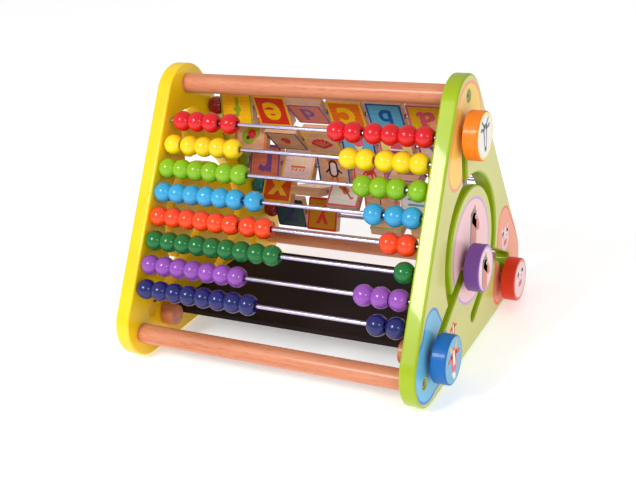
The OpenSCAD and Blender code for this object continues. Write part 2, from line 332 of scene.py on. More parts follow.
# %% Helper: the distance to a lobe, as a node group
def make_lobe_group():
    tree = bpy.data.node_groups.new("Lobe distance", "ShaderNodeTree")
    face = tree.interface
    for name in ("Point", "Start", "End"):
        face.new_socket(name=name, in_out="INPUT", socket_type="NodeSocketVector")
    for name in ("Start Radius", "End Radius"):
        face.new_socket(name=name, in_out="INPUT", socket_type="NodeSocketFloat")
    face.new_socket(name="Distance", in_out="OUTPUT", socket_type="NodeSocketFloat")
    given = node(tree, "NodeGroupInput").outputs
    given = {socket.name: socket for socket in given if socket.name}

    def vector(operation, *values):
        made = node(tree, "ShaderNodeVectorMath", operation=operation)
        for socket, value in zip(made.inputs, values):
            tree.links.new(value, socket)
        return made.outputs["Value" if operation in ("DOT_PRODUCT", "LENGTH") else "Vector"]

    def scalar(operation, *values, clamp=False):
        made = node(tree, "ShaderNodeMath", operation=operation, use_clamp=clamp)
        for socket, value in zip(made.inputs, values):
            tree.links.new(value, socket)
        return made.outputs[0]

    away = vector("SUBTRACT", given["Point"], given["Start"])
    line = vector("SUBTRACT", given["End"], given["Start"])
    along = scalar("DIVIDE", vector("DOT_PRODUCT", away, line),
                   vector("DOT_PRODUCT", line, line), clamp=True)
    step = node(tree, "ShaderNodeVectorMath", operation="SCALE")
    tree.links.new(line, step.inputs[0])
    tree.links.new(along, step.inputs["Scale"])
    gap = vector("LENGTH", vector("SUBTRACT", away, step.outputs[0]))
    grown = scalar("SUBTRACT", given["End Radius"], given["Start Radius"])
    radius = scalar("MULTIPLY_ADD", grown, along, given["Start Radius"])
    made = node(tree, "NodeGroupOutput")
    tree.links.new(scalar("SUBTRACT", gap, radius), made.inputs["Distance"])
    return tree


LOBE = make_lobe_group()


def spot_distance(tree, place, lobes):
    """The distance to a spot. A lobe is (y, z, radius, y, z, radius) in mm."""
    least = None
    for y1, z1, r1, y2, z2, r2 in lobes:
        made = node(tree, "ShaderNodeGroup", node_tree=LOBE)
        feed(tree, made, Point=place, Start=(0, y1 * MM, z1 * MM), Start_Radius=r1 * MM,
             End=(0, y2 * MM, (z2 + 0.01) * MM), End_Radius=r2 * MM)
        if least is None:
            least = made.outputs[0]
            continue
        smaller = node(tree, "ShaderNodeMath", operation="MINIMUM")
        tree.links.new(least, smaller.inputs[0])
        tree.links.new(made.outputs[0], smaller.inputs[1])
        least = smaller.outputs[0]
    return least


def inside(tree, distance, limit):
    made = node(tree, "ShaderNodeMath", operation="LESS_THAN")
    tree.links.new(distance, made.inputs[0])
    made.inputs[1].default_value = limit
    return made.outputs[0]


print("lobe group has", len(LOBE.nodes), "nodes")

# %% [markdown]
# The film has four spots, one round each place where a knob rests.

# %% The spots on the film
PRINT_RIM = 2.8 * MM
SPOTS = [
    # the top knob's spot, with a lobe down the front slope
    ([(0, 233, 35, 0, 233, 35), (-20, 227, 21, -38, 197, 21)],
     srgb(255, 148, 108), srgb(255, 210, 84)),
    # the front foot's
    ([(-123, 40, 34.5, -113, 72, 20), (-123, 40, 34.5, -84, 27, 20), (-113, 72, 20, -84, 27, 20)],
     srgb(70, 135, 215), srgb(112, 195, 230)),
    # the rear foot's
    ([(123, 40, 34.5, 103, 87, 21), (123, 40, 34.5, 83, 25, 20), (103, 87, 21, 83, 25, 20)],
     srgb(238, 96, 66), srgb(250, 156, 118)),
    # the one in the middle of the ring
    ([(-2, 102, 53, -2, 102, 53)], srgb(205, 160, 218), srgb(252, 204, 206)),
]


def film(name, ground):
    material, tree, shader, place = new_finish(name, 0.42, 0.3, 0.05)
    flat = node(tree, "ShaderNodeVectorMath", operation="MULTIPLY")
    flat.inputs[1].default_value = (0, 1, 1)
    tree.links.new(place, flat.inputs[0])
    low, high = shade_range(ground, 0.95, 1.03)
    colour = ramp(tree, noise(tree, place, 16, 3), (0.3, low), (0.7, high))
    for lobes, rim, fill in SPOTS:
        distance = spot_distance(tree, flat.outputs[0], lobes)
        colour = mix(tree, inside(tree, distance, 0), colour, rim)
        colour = mix(tree, inside(tree, distance, -PRINT_RIM), colour, fill)
    tree.links.new(colour, shader.inputs["Base Color"])
    bump(tree, shader, noise(tree, place, 350, 2), 0.03, 0.15 * MM)
    return material


GREEN_FILM = film("green film", srgb(214, 212, 122))
YELLOW_FILM = film("yellow film", srgb(250, 210, 70))
GREEN_PAINT = paint("green paint", srgb(160, 184, 8), 0.35, 0.35)
YELLOW_PAINT = paint("yellow paint", srgb(255, 208, 0), 0.35, 0.35)

# %% [markdown]
# ## The panels
# A panel is a board with a routed maze, and every edge of it is rounded over. A flat curve does
# that in one go: its loops are the outline and the slots, its extrusion is the board, and its
# bevel is the round-over. The loops are the rims of the panel's outer face, walked edge by edge
# on a merged copy of the CAD node, so the board follows the measured one exactly.

# %% Helper: the closed rims of a panel's outer face
def face_rims(node_name, x):
    bm = merged_copy(node_name)
    on_face = [f for f in bm.faces if all(abs(v.co.x - x) < 0.01 * MM for v in f.verts)]
    face_set = set(on_face)
    rim = [e for e in bm.edges if sum(f in face_set for f in e.link_faces) == 1]
    links = {}
    for edge in rim:
        first, second = edge.verts
        links.setdefault(first, []).append(second)
        links.setdefault(second, []).append(first)
    loops = []
    while links:
        start = next(iter(links))
        walk, last, here = [], None, start
        while here is not None and here in links:
            walk.append(here.co.yz.copy())
            ahead = [v for v in links.pop(here) if v is not last and v in links]
            last, here = here, ahead[0] if ahead else None
        loops.append(walk)
    bm.free()
    return loops


for side_name, x in (("left_panel", -outer_x), ("right_panel", outer_x)):
    print(side_name, "has rims of", [len(loop) for loop in face_rims(side_name, x)], "points")

# %% Make the rounded boards
ROUND_OVER = 2.2 * MM
ROUND_STEPS = 3


def rounded_board(name, node_name, side, edge_paint, face_print):
    curve = bpy.data.curves.new(name, "CURVE")
    curve.dimensions, curve.fill_mode = "2D", "BOTH"
    thickness = outer_x - inner_x
    curve.extrude = thickness / 2 - ROUND_OVER
    curve.bevel_depth, curve.bevel_resolution = ROUND_OVER, ROUND_STEPS - 1
    curve.offset = -ROUND_OVER
    for loop in face_rims(node_name, side * outer_x):
        spline = curve.splines.new("POLY")
        spline.points.add(len(loop) - 1)
        for point, at in zip(spline.points, loop):
            point.co = (at.x, at.y, 0, 1)
        spline.use_cyclic_u = True
    flat = bpy.data.objects.new(name, curve)
    bpy.context.scene.collection.objects.link(flat)
    bpy.context.view_layer.update()
    mesh = bpy.data.meshes.new_from_object(flat.evaluated_get(bpy.context.evaluated_depsgraph_get()))
    bpy.data.objects.remove(flat)
    bm = bmesh.new()
    bm.from_mesh(mesh)
    bpy.data.meshes.remove(mesh)
    bmesh.ops.remove_doubles(bm, verts=bm.verts, dist=SAME)
    # the curve lies in XY: its X becomes the panel's Y, its Y the panel's Z
    stand_up = Matrix(((0, 0, 1, side * (inner_x + outer_x) / 2), (1, 0, 0, 0), (0, 1, 0, 0),
                       (0, 0, 0, 1)))
    bmesh.ops.transform(bm, matrix=stand_up, verts=bm.verts)
    for face in bm.faces:
        face.normal_update()
        face.material_index = 1 if face.normal.x * side > 0.999 or (
            face.normal.x * side < -0.999 and abs(face.calc_center_median().x) > outer_x - MM) else 0
    return finish_piece(name, bm, body_of(node_name), [edge_paint, face_print], [node_name])


green_board = rounded_board("green_board", "right_panel", RIGHT,
                            GREEN_PAINT, GREEN_FILM)
yellow_board = rounded_board("yellow_board", "left_panel", LEFT,
                             YELLOW_PAINT, YELLOW_FILM)
print("boards have", len(green_board.data.polygons), "and", len(yellow_board.data.polygons), "faces")

# %% [markdown]
# ## Beads
# A bead is a turned ball with flat ends, a drilled hole and a softened lip at the hole. Spinning
# half its outline round X makes it. The outline follows the ball's curve from lip to lip, then
# comes back through the bore. All the beads parked together slide as one, so they are one piece.

# %% Finishes: bead lacquers
BEAD_COLOURS = {
    "red": srgb(216, 2, 22), "yellow": srgb(255, 212, 0), "light_green": srgb(132, 184, 2),
    "light_blue": srgb(50, 160, 210), "orange": srgb(250, 66, 6), "dark_green": srgb(2, 108, 44),
    "purple": srgb(146, 74, 176), "navy": srgb(16, 24, 100),
}
LACQUERS = {name: paint(name + " lacquer", colour, 0.3, 0.5, (1, 1, 1), 0.04)
            for name, colour in BEAD_COLOURS.items()}


# %% Helper: spin one bead
def add_bead(bm, low, high, bore, steps=24, arc_steps=9, material=0):
    """A bead that fills the box from low to high, with a bore of that diameter."""
    centre, half_w = (low + high) / 2, (high.x - low.x) / 2
    radius = (high.z - low.z) / 2
    lip = 0.5 * MM
    end_r = math.sqrt(max(radius ** 2 - half_w ** 2, (bore / 2 + 2 * lip) ** 2))
    outline = [(-half_w, bore / 2 + lip), (-half_w, end_r)]
    start = math.atan2(end_r, -half_w)
    for step in range(1, arc_steps):
        turn = start + (math.pi - 2 * start) * step / arc_steps
        outline.append((radius * math.cos(turn), radius * math.sin(turn)))
    outline += [(half_w, end_r), (half_w, bore / 2 + lip), (half_w - lip, bore / 2),
                (-half_w + lip, bore / 2)]
    verts = [bm.verts.new((centre.x + x, centre.y, centre.z + r)) for x, r in outline]
    edges = [bm.edges.new((a, b)) for a, b in zip(verts, verts[1:] + verts[:1])]
    known = set(bm.faces)
    bmesh.ops.spin(bm, geom=verts + edges, cent=centre, axis=(1, 0, 0), angle=math.tau,
                   steps=steps, use_merge=True)
    for face in bm.faces:
        if face not in known:
            face.material_index = material


BEAD_BORE = 6 * MM


# %% Thread the beads on their rods
for row, colour in enumerate(BEAD_COLOURS, start=1):
    for side_name in ("left", "right"):
        node_name = f"beads_{row}_{side_name}"
        bm = bmesh.new()
        for low, high in solids_in(node_name):
            add_bead(bm, low, high, BEAD_BORE)
        finish_piece(f"{colour}_beads_{side_name}", bm, body_of(node_name),
                     [LACQUERS[colour]], [node_name])

# %% Spacer beads beside the tiles
SPACER_PAINTS = [paint("spacer " + name, colour, 0.3, 0.6, (1, 1, 1), 0.04) for name, colour in (
    ("wine", srgb(150, 12, 24)), ("straw", srgb(214, 190, 60)), ("olive", srgb(126, 146, 20)),
    ("teal", srgb(14, 116, 128)), ("brick", srgb(160, 24, 20)))]
bm = bmesh.new()
spacers = sorted(solids_in("spacer_beads"), key=lambda pair: -pair[0].z)
for index, (low, high) in enumerate(spacers):
    add_bead(bm, low, high, BEAD_BORE, material=index)
finish_piece("spacer_bead_row", bm, body_of("spacer_beads"), SPACER_PAINTS,
             ["spacer_beads"])
print("made", len(spacers), "spacers")

# %% [markdown]
# ## Turned knobs
# A slider is a painted disc outside the panel, a stem through the slot and a plain peg that holds
# it inside. Discs are cones of equal radii laid along X, and a bevel rounds their rims. On the
# knob's cap an inset gives a ring of one print colour round a disc of another.

# %% Helper: a disc with rounded rims, along X
def add_disc(bm, low, high, rim, segments=64, steps=4):
    radius, centre = (high.z - low.z) / 2, (low + high) / 2
    turned = Matrix.Translation(centre) @ Matrix.Rotation(math.pi / 2, 4, "Y")
    made = bmesh.ops.create_cone(bm, cap_ends=True, segments=segments, radius1=radius,
                                 radius2=radius, depth=high.x - low.x, matrix=turned)["verts"]
    own = set(made)
    rims = [e for e in bm.edges if e.verts[0] in own and e.verts[1] in own
            and abs(e.verts[0].co.x - e.verts[1].co.x) < SAME]
    bmesh.ops.bevel(bm, geom=rims, offset=rim, segments=steps, affect="EDGES", profile=0.5,
                    material=-1)


def cap_of(bm, side):
    bm.normal_update()
    return max(bm.faces, key=lambda f: f.normal.x * side * f.calc_area())


# %% [markdown]
# ## Inks
# The prints are flat areas of ink, a little glossier than bare wood. The same few inks colour
# the letters, the borders and the pictures, so they are mixed once and picked by name.

# %% Finishes: inks
INK_COLOURS = {
    "red": srgb(224, 46, 34), "orange": srgb(240, 112, 18), "yellow": srgb(252, 192, 14),
    "straw": srgb(250, 226, 132), "leaf": srgb(146, 170, 34), "forest": srgb(22, 100, 66),
    "sky": srgb(98, 176, 212), "blue": srgb(28, 88, 166), "navy": srgb(26, 44, 112),
    "purple": srgb(124, 72, 160), "salmon": srgb(228, 120, 96), "pink": srgb(236, 92, 118),
    "blush": srgb(250, 212, 214), "white": srgb(248, 242, 236), "brown": srgb(146, 82, 48),
    "black": srgb(40, 34, 40), "grey": srgb(122, 120, 130), "teal": srgb(18, 78, 84),
    "ochre": srgb(216, 142, 16), "lilac": srgb(206, 168, 220), "ember": srgb(216, 74, 16),
}
inks = {}


def ink(name):
    if name == "wood":
        return TILE_WOOD
    if name not in inks:
        material, tree, shader, place = new_finish(name + " ink", 0.42, 0.35, 0.1)
        low, high = shade_range(INK_COLOURS[name], 0.88, 1.05)
        fibres = noise(tree, place, 60, 4, (1, 9, 9))
        tree.links.new(ramp(tree, fibres, (0.3, low), (0.65, high)), shader.inputs["Base Color"])
        bump(tree, shader, fibres, 0.05, 0.15 * MM)
        inks[name] = material
    return inks[name]


# %% [markdown]
# ## Pictures
# A picture is a stack of thin films of ink. Each film is one lobe: a circle whose far half is
# moved and scaled to the lobe's other end, then given a wall. Later films stand a hair higher,
# so they hide the ones below. Pictures are drawn in millimetres, X to the right and Y up.

# %% Helpers: a palette for one piece, and a picture of lobes
INK_FILM, INK_STEP = 0.05, 0.03


class Palette:
    """The materials of one piece, each given its slot number when it is first used."""
    def __init__(self, *first):
        self.materials = list(first)

    def number(self, name):
        material = ink(name)
        if material not in self.materials:
            self.materials.append(material)
        return self.materials.index(material)


def put_plane(at, right, up):
    """A matrix that carries a drawing in millimetres onto a face."""
    right, up = Vector(right), Vector(up)
    turned = Matrix((right, up, right.cross(up))).transposed().to_4x4()
    return Matrix.Translation(at) @ turned @ Matrix.Scale(MM, 4)


def add_lobe(bm, lobe, height, place, material, segments=20):
    x1, y1, r1, x2, y2, r2 = lobe
    start, end = Vector((x1, y1)), Vector((x2, y2))
    circle = bmesh.ops.create_circle(bm, cap_ends=True, segments=segments, radius=1)["verts"]
    for vert in circle:
        out = vert.co.xy.copy()
        centre, radius = (end, r2) if out.dot(end - start) > 0 else (start, r1)
        vert.co = (*(centre + out * radius), height)
    faces = list({f for v in circle for f in v.link_faces})
    walled = bmesh.ops.solidify(bm, geom=faces, thickness=height + INK_FILM / 2)["geom"]
    verts = {v for f in walled if isinstance(f, bmesh.types.BMFace) for v in f.verts}
    verts |= set(circle)
    for face in {f for v in verts for f in v.link_faces}:
        face.material_index = material
    bmesh.ops.transform(bm, matrix=place, verts=list(verts))


def add_picture(bm, films, place, palette, size=1.0):
    for level, (name, *lobes) in enumerate(films):
        for lobe in lobes:
            scaled = tuple(value * size for value in lobe)
            add_lobe(bm, scaled, INK_FILM + level * INK_STEP, place, palette.number(name))


def dot(x, y, radius):
    return (x, y, radius, x, y + 0.01, radius)


# %% The farm animals of the mazes
HORSE = [("grey", (-9, -12, 4, -6, 8, 4), (-5, 10, 3, 1, 13, 2.4)),
         ("salmon", (-4, -14, 7, -1, 4, 6), (-1, 6, 6.4, 8, -5, 4), (-1, 11, 1.8, 1, 16, 0.8)),
         ("grey", (-2, 12, 1.6, 4, 9, 1.4), (9, -7, 0.8, 9.4, -6, 0.8)),
         ("white", dot(3.4, 4.6, 1.9)), ("black", dot(3.8, 4.4, 0.9))]
PIG = [("blush", (0, -1, 12.5, 0, 2, 12), (-8, 9, 3, -11, 14, 1.6), (8, 9, 3, 11, 14, 1.6)),
       ("pink", (-2.4, -4, 3.6, 2.4, -4, 3.6)),
       ("black", dot(-5, 3, 1), dot(5, 3, 1), dot(-1.8, -4, 0.8), dot(1.8, -4, 0.8))]
COW = [("red", (0, 6, 7.4, 0, -6, 5.8), (-7, 6, 2, -13, 4, 2.6), (7, 6, 2, 13, 4, 2.6)),
       ("white", (0, 9, 1.8, 0, -3, 3.4), (-3, -12, 3, 0, -16, 3)),
       ("yellow", (-5, 11, 1.9, -8, 16, 1), (5, 11, 1.9, 8, 16, 1)),
       ("pink", (-2.6, -8, 3.4, 2.6, -8, 3.4)),
       ("black", dot(-4, 4, 1.1), dot(4, 4, 1.1), dot(-1.8, -8, 0.7), dot(1.8, -8, 0.7))]
GOAT = [("grey", (0, 6, 5.6, 0, -12, 3), (-3, 10, 1.6, -9, 15, 1.2), (3, 10, 1.6, 9, 15, 1.2),
         (-5, 7, 1.4, -11, 8, 2), (5, 7, 1.4, 11, 8, 2)),
        ("white", (0, 5, 2, 0, -9, 1.2)), ("black", dot(-2.8, 6, 0.9), dot(2.8, 6, 0.9),
                                          (-0.8, -12, 1.4, 0.8, -12, 1.4))]

# %% Make the knobs and pegs
KNOBS = {
    "orange_slider": ("knob_orange", srgb(244, 128, 10), "straw", "white", GOAT),
    "purple_slider": ("knob_purple", srgb(128, 78, 164), "lilac", "blush", HORSE),
    "red_slider": ("knob_red", srgb(232, 50, 14), "salmon", "blush", PIG),
    "blue_slider": ("knob_blue", srgb(4, 102, 178), "sky", "sky", COW),
    "left_front_slider": ("knob_red", srgb(232, 50, 14), "salmon", "blush", PIG),
    "left_rear_slider": ("knob_blue", srgb(4, 102, 178), "sky", "sky", COW),
}
KNOB_RIM, KNOB_RING = 1.4 * MM, 2.4 * MM
knob_paints = {}

for node_name, (slot, colour, ring, disc, animal) in KNOBS.items():
    stem, peg, knob = sorted(solids_in(node_name), key=lambda pair: pair[1].z - pair[0].z)
    side = RIGHT if knob[0].x > 0 else LEFT
    if slot not in knob_paints:
        knob_paints[slot] = paint(slot + " paint", colour, 0.45, 0.15, (1, 1, 1), 0.05)
    palette = Palette(knob_paints[slot])
    bm = bmesh.new()
    add_disc(bm, *knob, KNOB_RIM)
    cap = cap_of(bm, side)
    for name in (ring, disc):
        cap.material_index = palette.number(name)
        bmesh.ops.inset_region(bm, faces=[cap], thickness=KNOB_RING if name == ring else 0.4 * MM)
    at = (knob[0] + knob[1]) / 2
    at.x = knob[1].x if side == RIGHT else knob[0].x
    add_picture(bm, animal, put_plane(at, (0, side, 0), (0, 0, 1)), palette, 0.98)
    base = node_name.replace("_slider", "")
    body = body_of(node_name)
    finish_piece(base + "_knob", bm, body, palette.materials, [node_name])
    bm = bmesh.new()
    add_disc(bm, *stem, 0.4 * MM, 32, 2)
    add_disc(bm, *peg, 1.0 * MM, 48, 3)
    finish_piece(base + "_peg", bm, body, [BEECH], [node_name])
print("turned", len(KNOBS), "knobs")

# %% The pictures on the two films
for board_name, node_name, side in (("green", "right_panel", RIGHT), ("yellow", "left_panel", LEFT)):
    palette = Palette()
    bm = bmesh.new()
    for animal, y, z, size in ((HORSE, 9, 126, 1.15), (PIG, 106, 70, 0.95), (COW, -59, 44, 0.62)):
        place = put_plane((side * outer_x, y * MM, z * MM), (0, side, 0), (0, 0, 1))
        add_picture(bm, animal, place, palette, size)
    finish_piece(board_name + "_board_pictures", bm, body_of(node_name),
                 palette.materials)

# %% [markdown]
# ## Cutting with a Boolean
# The bore of a tile and the cross of a screw are cut out of a finished block. A Boolean modifier
# does the cut on a throw-away object, and the evaluated mesh is what the lesson keeps.

# %% Helper: cut one bmesh out of another
def cut(bm, cutter):
    made = []
    for part in (bm, cutter):
        mesh = bpy.data.meshes.new("cutting")
        bmesh.ops.recalc_face_normals(part, faces=part.faces)
        part.to_mesh(mesh)
        part.free()
        made.append(bpy.data.objects.new("cutting", mesh))
        bpy.context.scene.collection.objects.link(made[-1])
    block, tool = made
    boolean = block.modifiers.new("cut", "BOOLEAN")
    boolean.object, boolean.operation, boolean.solver = tool, "DIFFERENCE", "EXACT"
    boolean.use_self = True
    bpy.context.view_layer.update()
    result = bmesh.new()
    result.from_object(block, bpy.context.evaluated_depsgraph_get())
    for made_object in made:
        bpy.data.objects.remove(made_object)
    return result


# %% [markdown]
# ## Screws
# Six screws hold the dowels. A head is a flat disc with a softened rim and a cross recess, sunk a
# millimetre into its hole in the panel. Each takes its place and width from the frame.

# %% Make the screws
RECESS_W, RECESS_L, RECESS_DEEP, HEAD_H = 1.1 * MM, 5.2 * MM, 1.4 * MM, 3 * MM
SHANK_R = 2 * MM
whole = bmesh.new()
for low, high in solids_in("dowel_screws"):
    side = RIGHT if low.x + high.x > 0 else LEFT
    top = high.x if side == RIGHT else low.x
    head_low, head_high = low.copy(), high.copy()
    if side == RIGHT:
        head_low.x = top - HEAD_H
    else:
        head_high.x = top + HEAD_H
    head = bmesh.new()
    add_disc(head, head_low, head_high, 0.5 * MM, 40, 2)
    cross = bmesh.new()
    middle = (low + high) / 2
    for across in ((RECESS_L, RECESS_W), (RECESS_W, RECESS_L)):
        bmesh.ops.create_cube(cross, size=1, matrix=Matrix.Translation((top, middle.y, middle.z))
                              @ Matrix.Diagonal((2 * RECESS_DEEP, *across, 1)))
    head = cut(head, cross)
    mesh = bpy.data.meshes.new("head")
    head.to_mesh(mesh)
    head.free()
    whole.from_mesh(mesh)
    bpy.data.meshes.remove(mesh)
    narrow = Vector((0, SHANK_R, SHANK_R))
    shank_low = middle - narrow
    shank_high = middle + narrow
    shank_low.x, shank_high.x = (low.x, head_low.x) if side == RIGHT else (head_high.x, high.x)
    add_disc(whole, shank_low, shank_high, 0.3 * MM, 24, 1)
finish_piece("cross_head_screws", whole, body_of("dowel_screws"), [SCREW_STEEL],
             ["dowel_screws"])

# %% [markdown]
# ## Flip tiles
# A tile is a square beech block with rounded corners, bored for its rod. One side is printed
# with a letter and the other with a picture, each inside a border. One block is shaped once and
# copied; the frame's own tile then says where each copy goes and how far it has turned.

# %% Shape one blank tile, centred on its rod
tile_low, tile_high, _ = box("tile_z")
tile_w = tile_high.x - tile_low.x
TILE_T, TILE_CORNER, TILE_EDGE, TILE_BORDER = 10 * MM, 2 * MM, 0.6 * MM, 2.3 * MM
TILE_BORE_R = 2.5 * MM


def blank_tile():
    bm = bmesh.new()
    bmesh.ops.create_cube(bm, size=1, matrix=Matrix.Diagonal((tile_w, TILE_T, tile_w, 1)))
    corners = [e for e in bm.edges if abs(e.verts[0].co.y - e.verts[1].co.y) > TILE_T / 2]
    bmesh.ops.bevel(bm, geom=corners, offset=TILE_CORNER, segments=4, affect="EDGES",
                    profile=0.5, material=-1)
    rims = [e for e in bm.edges if abs(e.verts[0].co.y - e.verts[1].co.y) < SAME]
    bmesh.ops.bevel(bm, geom=rims, offset=TILE_EDGE, segments=2, affect="EDGES",
                    profile=0.5, material=-1)
    bore = bmesh.new()
    bmesh.ops.create_cone(bore, cap_ends=True, segments=24, radius1=TILE_BORE_R, radius2=TILE_BORE_R,
                          depth=2 * tile_w, matrix=Matrix.Rotation(math.pi / 2, 4, "Y"))
    return cut(bm, bore)


blank = blank_tile()
blank_mesh = bpy.data.meshes.new("blank tile")
blank.to_mesh(blank_mesh)
blank.free()
print("a blank tile has", len(blank_mesh.polygons), "faces")


# %% Helpers: print a face, and set a letter
# how far apart the points of one corner may end after the first inset
POINT_WELD = 0.3 * MM


def broad_face(bm, normal_y):
    bm.normal_update()
    return max(bm.faces, key=lambda f: f.normal.y * normal_y * f.calc_area())


def print_face(bm, normal_y, border, ground):
    """Colours one broad face of a tile: a border of one ink round a ground of another."""
    face = broad_face(bm, normal_y)
    face.material_index = border
    # the first inset takes the corner's arc to a point, and the second goes on from there
    to_point = TILE_CORNER - TILE_EDGE
    for thickness in (to_point, TILE_BORDER - to_point):
        bmesh.ops.inset_region(bm, faces=[face], thickness=thickness)
        bmesh.ops.remove_doubles(bm, verts=face.verts[:], dist=POINT_WELD)
        face = broad_face(bm, normal_y)
    face.material_index = ground


LETTER_SIZE, LETTER_BOLD = 27, 0.7
LETTER_TALL, LETTER_WIDE = 23, 26


def add_letter(bm, letter, place, material):
    """Sets one bold letter, in millimetres, centred on its face."""
    text = bpy.data.curves.new("letter", "FONT")
    text.body, text.size = letter, LETTER_SIZE
    text.offset, text.extrude, text.resolution_u = LETTER_BOLD, INK_FILM, 4
    set_type = bpy.data.objects.new("letter", text)
    bpy.context.scene.collection.objects.link(set_type)
    bpy.context.view_layer.update()
    mesh = bpy.data.meshes.new_from_object(
        set_type.evaluated_get(bpy.context.evaluated_depsgraph_get()))
    bpy.data.objects.remove(set_type)
    low = Vector(min(v.co[i] for v in mesh.vertices) for i in range(3))
    high = Vector(max(v.co[i] for v in mesh.vertices) for i in range(3))
    size = min(LETTER_TALL / (high.y - low.y), LETTER_WIDE / (high.x - low.x))
    mesh.transform(place @ Matrix.Diagonal((size, size, 1, 1))
                   @ Matrix.Translation(-(low + high) / 2))
    known = set(bm.faces)
    bm.from_mesh(mesh)
    bpy.data.meshes.remove(mesh)
    added = [face for face in bm.faces if face not in known]
    for face in added:
        face.material_index = material
    ends = {v for f in added for v in f.verts}
    bmesh.ops.remove_doubles(bm, verts=list(ends), dist=SAME)


# %% [markdown]
# The letters' grounds and inks, and for the other side a border, a ground and a small picture.
# The pictures are simple things a child would name, drawn with the same lobes as the animals.

# %% The letters: ground and ink
LETTER_INKS = {
    "a": ("yellow", "pink"), "b": ("sky", "blue"), "c": ("orange", "yellow"),
    "d": ("salmon", "purple"), "e": ("red", "yellow"), "f": ("yellow", "leaf"),
    "g": ("salmon", "red"), "h": ("leaf", "forest"), "i": ("sky", "navy"),
    "j": ("blush", "pink"), "k": ("leaf", "forest"), "l": ("lilac", "purple"),
    "m": ("yellow", "orange"), "n": ("sky", "purple"), "o": ("straw", "red"),
    "p": ("orange", "red"), "q": ("leaf", "yellow"), "r": ("salmon", "purple"),
    "s": ("sky", "blue"), "t": ("yellow", "red"), "u": ("purple", "blush"),
    "v": ("leaf", "forest"), "w": ("orange", "yellow"), "x": ("ember", "yellow"),
    "y": ("ochre", "red"), "z": ("teal", "navy"),
}

